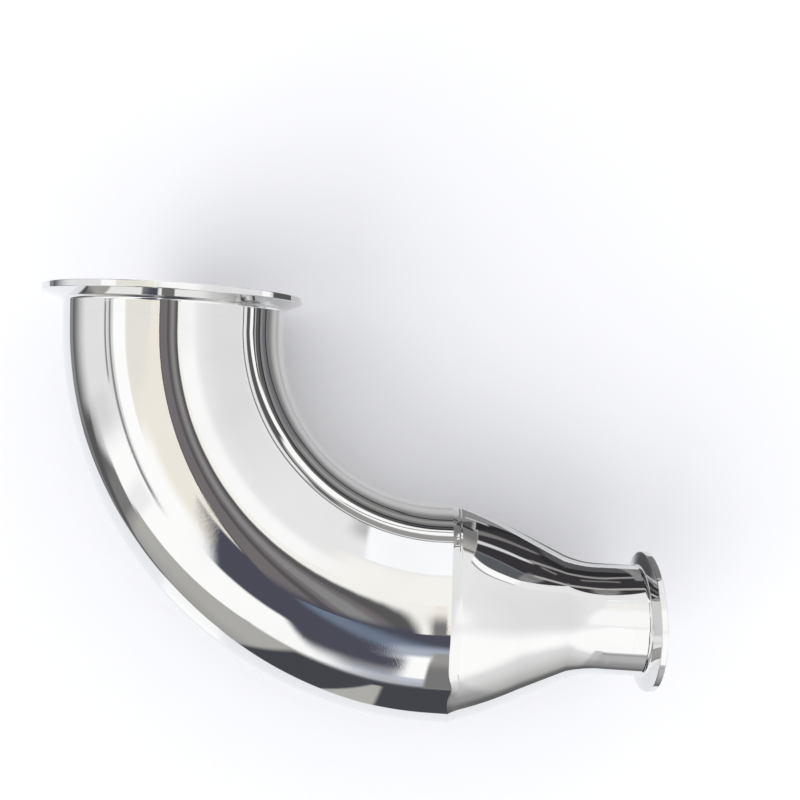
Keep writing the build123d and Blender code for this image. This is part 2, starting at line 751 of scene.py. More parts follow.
@dataclass
class ReducerShape:
    """Meridian shared by the weld ring and the concentric reducer."""

    large_radius: float = LARGE.diameter / 2
    small_radius: float = SMALL.diameter / 2
    large_wall: float = LARGE.wall
    small_wall: float = SMALL.wall
    weld_width: float = 4.6 * MM
    shoulder_angle: float = 16.0
    shoulder_radius: float = 180.0 * MM
    cone_angle: float = 24.8
    neck_radius: float = 43.0 * MM
    tail_length: float = 11.2 * MM
    axis_start: Port = field(default_factory=TubeBend.outlet_port)

    @property
    def weld_end_radius(self) -> float:
        """Outer radius where the weld meets the reducer."""
        return self.large_radius - self.weld_width * math.tan(math.radians(self.shoulder_angle))

    @property
    def shoulder_centre(self) -> Pair:
        """Centre of the shoulder's arc.

        Returns:
            Its place along the axis and its radius.
        """
        slope = math.radians(self.shoulder_angle)
        return (
            self.weld_width - self.shoulder_radius * math.sin(slope),
            self.weld_end_radius - self.shoulder_radius * math.cos(slope),
        )

    @property
    def neck_centre(self) -> Pair:
        """Centre of the neck's arc.

        Returns:
            Its place along the axis and its radius.
        """
        slope = math.radians(self.cone_angle)
        height = self.small_radius + self.neck_radius
        rise = height - self.shoulder_centre[1]
        apart = self.shoulder_radius + self.neck_radius
        along = self.shoulder_centre[0] + (apart - rise * math.cos(slope)) / math.sin(slope)
        return (along, height)

    @property
    def end(self) -> float:
        """Place of the reducer's small end."""
        return self.neck_centre[0] + self.tail_length

    def meridian(
        self, shoulder_wall: float, neck_wall: float, steps: int
    ) -> tuple[np.ndarray, np.ndarray]:
        """Line of one surface, the given walls inside the outer one.

        Args:
            shoulder_wall: Wall at the shoulder.
            neck_wall: Wall at the neck.
            steps: Points on each arc.

        Returns:
            Points and outward normals.
        """
        shoulder = self.shoulder_radius - shoulder_wall
        neck = self.neck_radius + neck_wall
        centre, neck_centre = self.shoulder_centre, self.neck_centre
        run = neck_centre[0] - centre[0]
        rise = neck_centre[1] - centre[1]
        slope = math.atan2(run, rise) - math.acos((shoulder + neck) / math.hypot(run, rise))
        first = math.asin((self.weld_width - centre[0]) / shoulder)
        arcs = (
            (centre, shoulder, np.linspace(first, slope, steps)),
            (neck_centre, -neck, np.linspace(slope, 0.0, steps)),
        )
        points, normals = [], []
        for middle, reach, angles in arcs:
            for angle in angles:
                normal = (math.sin(angle), math.cos(angle))
                normals.append(normal)
                points.append((middle[0] + reach * normal[0], middle[1] + reach * normal[1]))
        normals.append((0.0, 1.0))
        points.append((self.end, neck_centre[1] - neck))
        return np.array(points), np.array(normals)


@dataclass
class ConcentricReducer:
    """Reducer from the large tube to the small one."""

    shape: ReducerShape
    finish: bpy.types.Material
    steps: int = 40
    columns: int = 300

    def build(self) -> bpy.types.Object:
        """Builds and dresses the reducer.

        Returns:
            The finished piece.
        """
        shape = self.shape
        outer, outer_normals = shape.meridian(0.0, 0.0, self.steps)
        inner, inner_normals = shape.meridian(shape.large_wall, shape.small_wall, self.steps)
        points = np.concatenate([outer, inner[::-1]])
        normals = np.concatenate([outer_normals, -inner_normals[::-1]])
        start = shape.axis_start
        return start.turn("reducer_cone", self.finish, points, normals, self.columns)


@dataclass
class GirthWeld:
    """Weld ring between bend and reducer, dressed by hand, so its edges wander a little."""

    shape: ReducerShape
    finish: bpy.types.Material
    rows: int = 36
    columns: int = 720
    valley: float = 0.09 * MM
    onset: float = 0.25 * MM
    least_onset: float = 0.12 * MM
    edge_width: float = 0.1 * MM
    wander: float = 0.15 * MM
    ripples: tuple[Triple, ...] = ((0.6, 3, 0.7), (0.4, 7, 2.1), (0.35, 16, 0.0), (0.2, 31, 1.0))
    notch_depth: float = 1.6 * MM
    notch_angle: float = 1.21
    notch_width: float = 0.1
    low_side_depth: float = 0.9 * MM
    low_side_end: float = 0.9
    low_side_softness: float = 0.03
    undercut_depth: float = 0.06 * MM
    undercut_width: float = 0.32 * MM
    undercut_inset: float = 0.8 * MM
    undercut_fade: Pair = (0.3, 0.8)
    slope_step: float = 0.02 * MM
    slope_turn: float = 0.002

    def edge(self, angle: np.ndarray) -> np.ndarray:
        """Place along the axis where the bead's hollow begins.

        Args:
            angle: Angle round the axis.

        Returns:
            The place for each angle.
        """
        waves = sum(share * np.sin(count * angle + phase) for share, count, phase in self.ripples)
        notch = self.notch_depth * np.exp(-(((angle - self.notch_angle) / self.notch_width) ** 2))
        past_low_side = (angle - self.low_side_end) / self.low_side_softness
        low_side = self.low_side_depth / (1 + np.exp(past_low_side))
        place = self.onset + self.wander * waves + notch + low_side
        return np.maximum(place, self.least_onset)

    def along_rows(self, angle: np.ndarray) -> np.ndarray:
        """Rows of the bead, with a close pair at the edge of its hollow.

        Args:
            angle: Angle round the axis.

        Returns:
            Places along the axis, rows by angles.
        """
        edge = self.edge(angle)[None, :]
        width = self.shape.weld_width
        share = np.linspace(0.0, 1.0, self.rows)[1:, None]
        half = self.edge_width / 2
        hollow = edge + (width - edge) * share
        return np.concatenate([np.zeros_like(edge), edge - half, edge + half, hollow])

    def outer_line(self, along: np.ndarray, angle: np.ndarray) -> np.ndarray:
        """Radius of the dressed bead.

        Args:
            along: Place along the axis, from the bend's end.
            angle: Angle round the axis.

        Returns:
            The radius at each place.
        """
        shape = self.shape
        edge = self.edge(angle)
        share = np.clip((along - edge) / (shape.weld_width - edge), 0.0, 1.0)
        hollow = 4 * self.valley * share * (1 - share)
        bead = shape.large_radius - (shape.large_radius - shape.weld_end_radius) * share - hollow
        low, high = self.undercut_fade
        fade = np.clip((-np.cos(angle) - low) / (high - low), 0.0, 1.0)
        offset = (along - shape.weld_width + self.undercut_inset) / self.undercut_width
        cut = self.undercut_depth * fade * np.exp(-(offset**2))
        return np.where(along < edge, shape.large_radius, bead - cut)

    def build(self) -> bpy.types.Object:
        """Builds and dresses the weld ring.

        Returns:
            The finished piece.
        """
        shape = self.shape
        angles = np.linspace(0, 2 * math.pi, self.columns, endpoint=False)
        along = self.along_rows(angles)
        radius = self.outer_line(along, angles)
        before = np.maximum(along - self.slope_step, 0.0)
        after = np.minimum(along + self.slope_step, shape.weld_width)
        rise = self.outer_line(after, angles) - self.outer_line(before, angles)
        slope = rise / (after - before)
        turn = self.slope_turn
        rise = self.outer_line(along, angles + turn) - self.outer_line(along, angles - turn)
        twist = rise / (2 * turn * radius)

        start = shape.axis_start
        axis = np.array(start.outward)
        spokes = wheel(axis[None], angles)[0]
        round_way = wheel(axis[None], angles + math.pi / 2)[0]
        outer = np.array(start.centre) + axis * along[..., None] + spokes * radius[..., None]
        normals = spokes - axis * slope[..., None] - round_way * twist[..., None]
        normals /= np.linalg.norm(normals, axis=-1, keepdims=True)

        inner_end = shape.meridian(shape.large_wall, shape.small_wall, steps=2)[0][0]
        inner_along = np.array([inner_end[0], 0.0])
        inner_radius = np.array([inner_end[1], shape.large_radius - shape.large_wall])
        inner, inner_lines = start.turned(inner_along, inner_radius, self.columns)
        return lattice_mesh(
            "girth_weld_ring",
            self.finish,
            np.concatenate([outer, inner]),
            np.concatenate([normals, -np.broadcast_to(spokes, inner.shape)]),
            np.concatenate([along_and_round(along, radius, angles), inner_lines]),
            np.repeat([False, True], [len(outer), len(inner)]),
        )


class Course(Enum):
    """Line that the height of a card is counted from."""

    LEVEL = "level with the table"
    TABLE_EDGE = "far edge of the table top"
    CROOK = "curved lines that the crook mirrors"


@dataclass(frozen=True)
class Card:
    """Panel with soft edges, in degrees of azimuth and elevation, or in mm on a flag.

    The pairs stand for the left and right edge, or for the low and high edge.
    """

    left: float
    right: float
    low: float
    high: float
    tone: Tone
    side: Pair = (2.0, 2.0)
    end: Pair = (2.0, 2.0)
    lean: Pair = (0.0, 0.0)
    tilt: Pair = (0.0, 0.0)
    strength: float = 1.0
    course: Course = Course.LEVEL

    def show(self, sheet: NodeSheet, across: Socket, height: Socket, behind: Shade) -> Socket:
        """Lays the card over what is behind it.

        Args:
            sheet: Nodes of the world or flag.
            across: Place from left to right.
            height: Place from low to high.
            behind: Colour behind the card.

        Returns:
            The colour with the card in front.
        """
        middle = ((self.left + self.right) / 2, (self.low + self.high) / 2)
        edges = (
            (self.left, self.side[0], self.lean[0], across, height, middle[1], 1.0),
            (self.right, self.side[1], self.lean[1], across, height, middle[1], 0.0),
            (self.low, self.end[0], self.tilt[0], height, across, middle[0], 1.0),
            (self.high, self.end[1], self.tilt[1], height, across, middle[0], 0.0),
        )
        share = None
        for edge, soft, slope, place, other, pivot, inside in edges:
            if slope:
                shift = sheet.calc("MULTIPLY_ADD", other, -slope, slope * pivot)
                place = sheet.calc("ADD", place, shift)
            step = sheet.rise(place, edge - soft / 2, edge + soft / 2, 1.0 - inside, inside)
            share = step if share is None else sheet.calc("MULTIPLY", share, step)
        if self.strength != 1.0:
            share = sheet.calc("MULTIPLY", share, self.strength)
        return sheet.blend(share, behind, radiance(self.tone))


# Panels of the room, by direction. Each is laid over the ones before it.
LEFT_WALL = (
    Card(-240, -163, -16, -3, Tone.IRON, (3, 4), (2, 27)),
    Card(-169, -162, -4, 28, Tone.SOFT_GREY, (4, 2), (6, 18)),
    Card(-240, -77, 43, 56.5, Tone.WHITE, end=(2, 1)),
    Card(-161.5, -77, 9, 50, Tone.WHITE, (7, 2)),
    Card(-152.5, -148, 10, 36, Tone.PALE, (3, 2), (3, 8), strength=0.7),
    Card(-181.5, -146, 40.5, 43, Tone.SOFT_GREY, (0.6, 6), (1.5, 2)),
    Card(-181.5, -147, 38.3, 40.9, Tone.MID_GREY, (0.6, 6), (2, 1.5), tilt=(0.03, 0.03)),
    Card(-181.5, -168, 35.5, 38, Tone.SOFT_GREY, (0.6, 6), (2, 2)),
    Card(-181.5, -170, 33, 35, Tone.MID_GREY, (0.6, 3), (1.5, 1)),
    Card(-240, -77, 56.5, 92, Tone.CREAM, end=(1.5, 2)),
    Card(-240, -163, 58, 82, Tone.OLD_CREAM, (3, 8), (3, 3)),
    Card(-157, -118, 50, 63, Tone.WHITE, (8, 2), (2, 12)),
    Card(-240, -154, -30, -14.8, Tone.MID_GREY, (3, 5), (2, 1.2)),
)

LOW_WALL = (
    Card(-150, -122, -30, 17.8, Tone.WARM_GREY, (3, 1), (2, 1.4), tilt=(0, 0.37)),
    Card(-123, -77, -30, 22.8, Tone.WARM_GREY, (1, 2), (2, 3)),
    Card(-150, -77, -20, -6, Tone.MID_GREY, (4, 2), (2, 26), strength=0.55),
    Card(-165, -149, -30, 10, Tone.DIM, (5, 4), (2, 2), lean=(0.35, 0)),
    Card(-168, -148, -13.5, -5.2, Tone.IRON, (5, 5), (1.5, 4), tilt=(0, -0.5)),
    Card(-168, -157, -12, 4, Tone.IRON, (6, 5), (4, 20), strength=0.75),
    Card(-152, -137, -14.5, -12, Tone.IRON, (5, 4), (1.5, 2.5)),
    Card(-105, -77, 18, 34, Tone.LAVENDER, (13, 1), (4, 9)),
    Card(-120.6, -77, -34, 20.3, Tone.CHARCOAL, (2.2, 1), (2, 4), lean=(0.25, 0)),
    Card(-103, -77, 19, 26, Tone.ASH, (8, 1), (6, 9), strength=0.5),
    Card(-104.6, -98.1, -30, 13, Tone.WARM_GREY, (1.2, 1), (2, 1.5), lean=(0.24, 0.01)),
)

HIGH_FLAGS = (
    Card(-134.5, -77, 50, 79, Tone.DUSK, (4, 1), (3, 3), lean=(-0.12, 0)),
    Card(-116, -77, 34.5, 60, Tone.DUSK, (3, 1), (17, 2), lean=(-0.3, 0)),
    Card(-106, -96.5, 29, 50, Tone.DUSK, (4, 3), (14, 3), strength=0.5),
    Card(-116, -77, 57.5, 69.5, Tone.BLUE, (4, 1), (8, 9), tilt=(-0.8, -0.8), strength=0.9),
    Card(-98.5, -77, 50, 64, Tone.LAVENDER, (3, 1), (4, 9), strength=0.6),
    Card(-95.4, -91.2, 30, 55, Tone.WHITE, (3, 0.8), (3, 5)),
    Card(-91.2, -77, 19, 60, Tone.ASH, (0.8, 1), (3, 4)),
    Card(-91.2, -77, 19, 46, Tone.DIM, (0.8, 1), (3, 12)),
)

RIGHT_WALL = (
    Card(-77, 145, -40, 92, Tone.PALE, (1, 1)),
    Card(-77, -15, 22, 92, Tone.WHITE, (1, 26), (9, 2)),
    Card(-77, -24, -40, 2, Tone.ASH, (1, 10), (2, 44)),
    Card(-77, -63, 2, 30, Tone.SILVER, (1, 5), (8, 2), strength=0.95),
    Card(-77, -63, -30, 5, Tone.MID_GREY, (1, 5), (2, 16), strength=0.7),
    Card(-77, -26, -30, -11.5, Tone.IRON, (1, 6), (2, 11), strength=0.85),
    Card(-62, -36, -8, 24, Tone.WARM_GREY, (5, 10), (8, 14), strength=0.2),
    Card(-77, -70, -30, 24, Tone.MID_GREY, (1, 5), (2, 4), strength=0.28),
    Card(-77, -71.5, 23, 27, Tone.MID_GREY, (1, 2), (1, 1), strength=0.6),
    Card(-14, 36, 3, 44, Tone.SOFT_GREY, (22, 44), (9, 24), strength=0.6),
    Card(-6, 88, 54, 86, Tone.WHITE, (24, 30), (10, 6), strength=0.85),
    Card(66, 140, 43, 78, Tone.IVORY, (16, 2), (10, 4)),
    Card(66.5, 71.6, -2, 20, Tone.SILVER, (6, 1), (2, 20)),
    Card(71.6, 103, 3, 42, Tone.COOL_WHITE, (1.8, 2), (2, 2), lean=(0.05, 0), tilt=(0, 0.12)),
    Card(74, 145, 72, 92, Tone.IVORY, (8, 2), (4, 2)),
    Card(114, 128, -14, 60, Tone.DUSK, (1.5, 3), (2, 3)),
    Card(104, 145, -34, 4, Tone.WARM_GREY, (2, 1), (2, 3)),
)

TABLE = Card(-245, 145, -200, -13.2, Tone.SHEET, end=(2, 1.4), course=Course.TABLE_EDGE)
TABLE_GLARE = Card(-139, -126, -40, -13.2, Tone.WHITE, (3, 3), (2, 2), strength=0.8)

CROOK = tuple(
    replace(card, course=Course.CROOK)
    for card in (
        Card(-8, 98, -95, 0.2, Tone.DIM, (3, 3), (2, 0.8), tilt=(0, -0.02)),
        Card(-2, 50, -4.6, -1.0, Tone.PALE, (3, 6), (1, 0.8), tilt=(-0.03, -0.03)),
        Card(50, 98, -2.9, -1.6, Tone.PALE, (6, 3), (1, 0.8)),
        Card(-4, 39, -10.2, -5.4, Tone.IRON, (3, 5), (1.6, 1), tilt=(-0.14, -0.065)),
        Card(36, 62, -7.3, -5.2, Tone.IRON, (5, 5), (1, 1)),
        Card(38, 98, -9.4, -7.2, Tone.WARM_GREY, (5, 3), (1, 1)),
        Card(60, 98, -9.0, -3.0, Tone.ASH, (6, 3), (1, 1)),
        Card(-4, 38, -15.1, -10.7, Tone.WHITE, (3, 4), (1, 1.4), tilt=(-0.175, -0.145)),
        Card(36, 98, -17.7, -9.7, Tone.WHITE, (4, 3), (1.6, 1.6)),
        Card(60, 98, -14.5, -13.2, Tone.MID_GREY, (6, 3), (0.8, 0.8), tilt=(-0.12, -0.12)),
        Card(-8, 98, -24.2, -18.6, Tone.IRON, (3, 3), (1.2, 1.4)),
        Card(-8, 18, -19, -13.9, Tone.IRON, (3, 8), (1, 0.8)),
        Card(-8, 16, -15.4, -14.0, Tone.NEAR_BLACK, (3, 8), (0.8, 0.8)),
        Card(-8, 16, -16.9, -15.5, Tone.SILVER, (3, 8), (0.8, 0.8)),
        Card(80, 98, -20.1, -18.5, Tone.NEAR_BLACK, (5, 3), (0.8, 0.8)),
        Card(-8, 98, -23.5, -21.9, Tone.NEAR_BLACK, (3, 3), (1, 1)),
        Card(-8, 42, -27.6, -24.0, Tone.MID_GREY, (3, 8), (2, 1)),
        Card(40, 98, -31.8, -27.4, Tone.ASH, (8, 3), (2.4, 2.4)),
        Card(-8, 42, -35.2, -29.5, Tone.SLATE, (3, 6), (1, 3), tilt=(-0.13, -0.13)),
        Card(-8, 42, -35.3, -33.4, Tone.SOOT, (3, 6), (1.2, 1.2), tilt=(-0.13, -0.13)),
        Card(40, 79, -38.6, -36.6, Tone.SOOT, (6, 4), (1.2, 1.2)),
        Card(77, 98, -35.9, -33.9, Tone.SOOT, (4, 3), (1.2, 1.2), tilt=(0.12, 0.12)),
        Card(-8, 150, -110, -45, Tone.SILVER, (3, 3), (2, 14)),
        Card(-8, 150, -110, -58, Tone.WARM_GREY, (3, 3), (2, 4), tilt=(0, -0.05)),
    )
)

# Panels of the near flags, in mm.
PORT_INSIDE = (
    Card(-44, 26, 38, 60, Tone.GUNMETAL, (6, 8), (2, 2)),
    Card(-46, 12, 37.4, 39.4, Tone.SLATE, (4, 6), (1.2, 1.2)),
    Card(-44, 6, 1.5, 7.5, Tone.DIM, (5, 8), (4, 2.5), tilt=(-0.55, -0.55)),
    Card(10, 44, -46, -14, Tone.IRON, (8, 4), (8, 4)),
    Card(8, 44, -12, 1.5, Tone.NEAR_BLACK, (6, 4), (3, 2)),
    Card(-46, 5, 21.4, 25.2, Tone.SOFT_GREY, (4, 5), (2, 2), tilt=(-0.25, -0.25)),
    Card(2, 36, 5.6, 10.4, Tone.ASH, (5, 6), (2.4, 2.4), tilt=(-0.48, -0.48)),
    Card(12, 25, 15, 18.4, Tone.DIM, (5, 2), (2, 2)),
    Card(10, 24, 35, 50, Tone.MID_GREY, (5, 6), (6, 6)),
    Card(15, 48, 29, 33.4, Tone.WARM_GREY, (6, 4), (2, 2), tilt=(-0.33, -0.33)),
    Card(12, 23, 37, 43, Tone.DIM, (4, 3), (3, 3)),
)

PORT_RIM = (
    Card(-60, -43.6, -80, 80, Tone.PALE, (1, 1.5), lean=(0, 0.15)),
    Card(-60, -41.9, -20, 43, Tone.WARM_GREY, (1, 1.5), (2, 3), lean=(0, 0.15)),
    Card(-60, -40.0, 16, 32, Tone.DIM, (1, 1.5), (1, 14), lean=(0, 0.15)),
    Card(-60, -45, 2, 17, Tone.IRON, (1, 3), (3, 1)),
    Card(-60, -44, 15.8, 18.2, Tone.NEAR_BLACK, (1, 1), (1, 1)),
    Card(-60, -37.5, 39.6, 42, Tone.DIM, (1, 1.5), (1.5, 1.5)),
    Card(-43, 60, -200, -49, Tone.NEAR_BLACK, (1, 1), (2, 3), tilt=(0, -1.24)),
    Card(-60, 60, -200, -53, Tone.MID_GREY, (1, 1), (2, 2), tilt=(0, -1.24)),
    Card(-50, -34, -5.5, -2, Tone.SILVER, (2, 4), (2, 2), tilt=(-0.5, -0.5)),
    Card(33, 80, -100, 10, Tone.MID_GREY, (1.5, 1), (1, 4)),
    Card(38.5, 80, -100, 27, Tone.DIM, (2, 1), (1, 2)),
)

CEILING_PANEL = (
    Card(-80, -54, -160, 120, Tone.IRON, (1, 5)),
    Card(-17, -5, -160, 120, Tone.IRON, (6, 6)),
    Card(4, 22, -160, 120, Tone.MID_GREY, (8, 8)),
    Card(30, 80, -160, 120, Tone.IRON, (8, 1)),
    Card(-80, 80, -160, -95, Tone.DUSK, (1, 1), (1, 40)),
    Card(44, 100, -160, 120, Tone.IVORY, (8, 1)),
    Card(52, 100, -160, 50, Tone.CREAM, (6, 1), (1, 20)),
    Card(51, 100, -160, -22, Tone.DIM, (6, 1), (1, 90)),
    Card(-80, 100, -160, -119, Tone.DUSK, (1, 1), (1, 30)),
)

RIM_PANEL = (
    Card(-10, 40, 22, 30, Tone.WHITE, end=(3, 3)),
    Card(-10, 40, -7.5, 19, Tone.IRON, end=(2.5, 2.5)),
    Card(-10, 40, -100, -7.5, Tone.SILVER, end=(1, 2.5)),
)

CEILING_CORNERS = ((-59.0, 86.0), (-59.0, -112.0), (63.0, -112.0), (63.0, 86.0))
RIM_CORNERS = ((-4.0, 62.0), (-4.0, -80.0), (30.0, -80.0), (30.0, 62.0))


@dataclass(frozen=True)
class RoundShape:
    """Rounded rectangle: its middle, half width, heights above and below, and squareness."""

    middle: Pair
    half_width: float
    above: float
    below: float
    power: float

    def corners(self, points: int = 120) -> tuple[Pair, ...]:
        """Outline of the shape.

        Args:
            points: Number of points.

        Returns:
            The points in order.
        """
        angles = np.linspace(0, 2 * math.pi, points, endpoint=False)
        cosine, sine = np.cos(angles), np.sin(angles)
        reach = np.where(sine > 0, self.above, self.below)
        across = np.sign(cosine) * np.abs(cosine) ** (2 / self.power) * self.half_width
        height = np.sign(sine) * np.abs(sine) ** (2 / self.power) * reach
        return tuple(zip((across + self.middle[0]).tolist(), (height + self.middle[1]).tolist()))

    def distance(self, sheet: NodeSheet, across: Socket, height: Socket) -> Socket:
        """Distance from the middle, one on the outline.

        Args:
            sheet: Nodes of the flag.
            across: Place from left to right, in mm.
            height: Place from low to high, in mm.

        Returns:
            The distance.
        """
        wide = sheet.calc("SUBTRACT", across, self.middle[0])
        wide = sheet.calc("ABSOLUTE", sheet.calc("DIVIDE", wide, self.half_width))
        tall = sheet.calc("SUBTRACT", height, self.middle[1])
        tall = sheet.calc(
            "MAXIMUM",
            sheet.calc("DIVIDE", tall, self.above),
            sheet.calc("DIVIDE", tall, -self.below),
        )
        shares = [sheet.calc("POWER", place, self.power) for place in (wide, tall)]
        return sheet.calc("POWER", sheet.calc("ADD", *shares), 1 / self.power)


PORT_EDGE = RoundShape((6.0, 0.0), 60.0, 64.0, 95.0, 2.6)
PORT_OPENING = RoundShape((-3.0, 5.0), 49.5, 48.0, 88.0, 2.5)
PORT_RING = Card(16, 90, -120, 120, Tone.PALE, (16, 1))

# Shares of the way out to the port's outline, where one tone gives way to the next.
BORE_EDGE = (0.98, 1.01)
RIM_LINE = (0.955, 0.98)
RIM_TURN = (0.985, 0.995)


@dataclass
class Flag:
    """Thin panel hung near the elbow, seen in its polish only.

    Its cards are counted in mm from its centre.
    """

    name: str
    centre: Triple
    corners: tuple[Pair, ...]
    level: bool
    backing: Tone
    cards: tuple[Card, ...]
    rim: tuple[Card, ...] = ()
    turn: float = 0.0

    def material(self) -> bpy.types.Material:
        """Builds the flag's glow.

        Returns:
            The material.
        """
        material, sheet = new_material(self.name)
        place = sheet.split(sheet.place())
        across, height = (sheet.calc("DIVIDE", place[axis], MM) for axis in (0, 2))
        colour = radiance(self.backing)
        for card in self.cards:
            colour = card.show(sheet, across, height, colour)
        if self.rim:
            bore = PORT_OPENING.distance(sheet, across, height)
            edge = PORT_EDGE.distance(sheet, across, height)
            line = sheet.rise(edge, *RIM_LINE)
            ring = sheet.blend(line, radiance(Tone.WHITE), radiance(Tone.ASH))
            ring = sheet.blend(sheet.rise(edge, *RIM_TURN), ring, radiance(Tone.PALE))
            ring = PORT_RING.show(sheet, across, height, ring)
            colour = sheet.blend(sheet.rise(bore, *BORE_EDGE), colour, ring)
            for card in self.rim:
                colour = card.show(sheet, across, height, colour)
        glow = sheet.add("ShaderNodeEmission", colour)
        sheet.add("ShaderNodeOutputMaterial", glow.outputs[0])
        material.cycles.emission_sampling = "NONE"
        return material

    def build(self) -> bpy.types.Object:
        """Builds the flag as a thin plate.

        Returns:
            The flag.
        """
        mesh = bpy.data.meshes.new(self.name)
        corners = [(x * MM, 0.0, z * MM) for x, z in self.corners]
        mesh.from_pydata(corners, [], [tuple(range(len(corners)))])
        flag = add_object(self.name, mesh)
        flag.location = self.centre
        flag.rotation_euler = (-math.pi / 2 if self.level else 0.0, 0.0, math.radians(self.turn))
        mesh.materials.append(self.material())
        flag.visible_camera = False
        flag.visible_diffuse = False
        flag.visible_shadow = False
        return flag


@dataclass(frozen=True)
class Studio:
    """Pale table, white camera background and the room that the steel mirrors."""

    table_normal: Triple = (0.02496, 0.07749, 0.99668)
    table_size: float = 6.0
    table_colour: Colour = (0.955, 0.955, 0.965, 1.0)
    table_fade: Pair = (72 * MM, 92 * MM)
    # Painted shade: a dark patch on the table near the reducer's neck, shown only in the steel's
    # reflections, deeper than the shade the lights give there.
    shade_colour: Colour = (0.14, 0.14, 0.145, 1.0)
    shade_centre: Triple = (192 * MM, -121 * MM, -56 * MM)
    shade_reach: Triple = (55 * MM, 14 * MM, 1.0)
    backdrop_colour: Colour = (1.0, 1.0, 1.0, 1.0)
    room_colour: Colour = (0.985, 0.99, 1.02, 1.0)
    room_level: float = 0.92
    key_spread: float = 50.0
    key_place: Triple = (-0.62, -0.55, 0.62)

    # In degrees of azimuth: where the world's angles wrap, where the crook's lines begin to
    # drop on each side, and the middle and the spread of the table edge's fall.
    seam: float = 45.0
    crook_left: float = 45.0
    crook_right: float = 25.0
    fall_middle: float = -133.0
    fall_spread: float = 45.0

    # In degrees of elevation: the drop of the crook's lines for each degree past those places,
    # and the table edge's fall, which grows by its power and stops at its limit.
    crook_left_slope: float = 0.115
    crook_right_slope: float = 0.05
    fall_power: float = 1.4
    fall_depth: float = 14.0
    fall_limit: float = 9.0

    @property
    def table_up(self) -> Vector:
        """Direction square to the table."""
        return Vector(self.table_normal).normalized()

    def heights(
        self, sheet: NodeSheet, azimuth: Socket, elevation: Socket
    ) -> dict[Course, Socket]:
        """Elevation counted from each course.

        Args:
            sheet: The world's nodes.
            azimuth: Azimuth of the ray, in degrees.
            elevation: Elevation of the ray, in degrees.

        Returns:
            The height for each course.
        """
        past = sheet.calc("MAXIMUM", sheet.calc("SUBTRACT", azimuth, self.crook_left), 0.0)
        short = sheet.calc("MAXIMUM", sheet.calc("SUBTRACT", self.crook_right, azimuth), 0.0)
        crook = sheet.calc("MULTIPLY_ADD", past, -self.crook_left_slope, elevation)
        crook = sheet.calc("MULTIPLY_ADD", short, -self.crook_right_slope, crook)
        away = sheet.calc("SUBTRACT", azimuth, self.fall_middle)
        away = sheet.calc("ABSOLUTE", sheet.calc("DIVIDE", away, self.fall_spread))
        fall = sheet.calc("MULTIPLY", sheet.calc("POWER", away, self.fall_power), self.fall_depth)
        fall = sheet.calc("MINIMUM", fall, self.fall_limit)
        return {
            Course.LEVEL: elevation,
            Course.CROOK: crook,
            Course.TABLE_EDGE: sheet.calc("ADD", elevation, fall),
        }

    def surround(self) -> bpy.types.World:
        """Builds the world: white to the camera, walls and panels to the steel.

        Returns:
            The world.
        """
        world = bpy.data.worlds.new("studio_surround")
        world.use_nodes = True
        bpy.context.scene.world = world
        sheet = NodeSheet(world.node_tree)
        generated = sheet.add("ShaderNodeTexCoord").outputs["Generated"]
        level = self.table_up.rotation_difference(Vector((0.0, 0.0, 1.0))).to_euler()
        turned = sheet.stretch(generated, (1.0, 1.0, 1.0), tuple(level))
        normal = sheet.vector("NORMALIZE", turned)[0]
        seam = (0.0, 0.0, math.radians(self.seam))
        parts = sheet.split(sheet.stretch(normal, (1.0, 1.0, 1.0), seam))
        azimuth = sheet.calc("ARCTAN2", parts[1], parts[0])
        azimuth = sheet.calc("MULTIPLY_ADD", azimuth, 180 / math.pi, -self.seam)
        rise = sheet.calc("ARCSINE", parts[2])
        elevation = sheet.calc("MULTIPLY", rise, 180 / math.pi)
        heights = self.heights(sheet, azimuth, elevation)
        colour = radiance(Tone.LIGHT)
        panels = (*LEFT_WALL, *LOW_WALL, *HIGH_FLAGS, *RIGHT_WALL, TABLE, TABLE_GLARE, *CROOK)
        for card in panels:
            colour = card.show(sheet, azimuth, heights[card.course], colour)

        path = sheet.add("ShaderNodeLightPath").outputs
        room = sheet.add("ShaderNodeBackground", colour)
        soft = sheet.add("ShaderNodeBackground", self.room_colour, self.room_level)
        backdrop = sheet.add("ShaderNodeBackground", self.backdrop_colour)
        shader = soft.outputs[0]
        for ray, above in (("Is Camera Ray", backdrop), ("Is Glossy Ray", room)):
            shader = sheet.cover(path[ray], shader, above.outputs[0])
        sheet.add("ShaderNodeOutputWorld", shader)
        return world

    def key_light(self) -> bpy.types.Object:
        """Adds the broad soft light that casts the elbow's shadow into the crook.

        Returns:
            The light.
        """
        data = bpy.data.lights.new("soft_key", "SUN")
        data.energy = 1.0
        data.angle = math.radians(self.key_spread)
        key = add_object("soft_key", data)
        towards = Vector(self.key_place).normalized()
        key.rotation_euler = towards.to_track_quat("Z", "Y").to_euler()
        key.visible_glossy = False
        return key

    def flags(self) -> list[bpy.types.Object]:
        """Hangs the near flags: in the crook, overhead and by the large rim.

        Returns:
            The flags.
        """
        port = Flag(
            name="port_flag",
            centre=(200 * MM, -84 * MM, -10 * MM),
            corners=PORT_EDGE.corners(),
            level=False,
            backing=Tone.SOOT,
            cards=PORT_INSIDE,
            rim=PORT_RIM,
        )
        ceiling = Flag(
            name="ceiling_panel",
            centre=(80 * MM, -68 * MM, 341 * MM),
            corners=CEILING_CORNERS,
            level=True,
            backing=Tone.TAUPE,
            cards=CEILING_PANEL,
        )
        rim = Flag(
            name="rim_panel",
            centre=(75 * MM, 0.0, 0.0),
            corners=RIM_CORNERS,
            level=False,
            backing=Tone.LIGHT,
            cards=RIM_PANEL,
            turn=90.0,
        )
        return [flag.build() for flag in (port, ceiling, rim)]

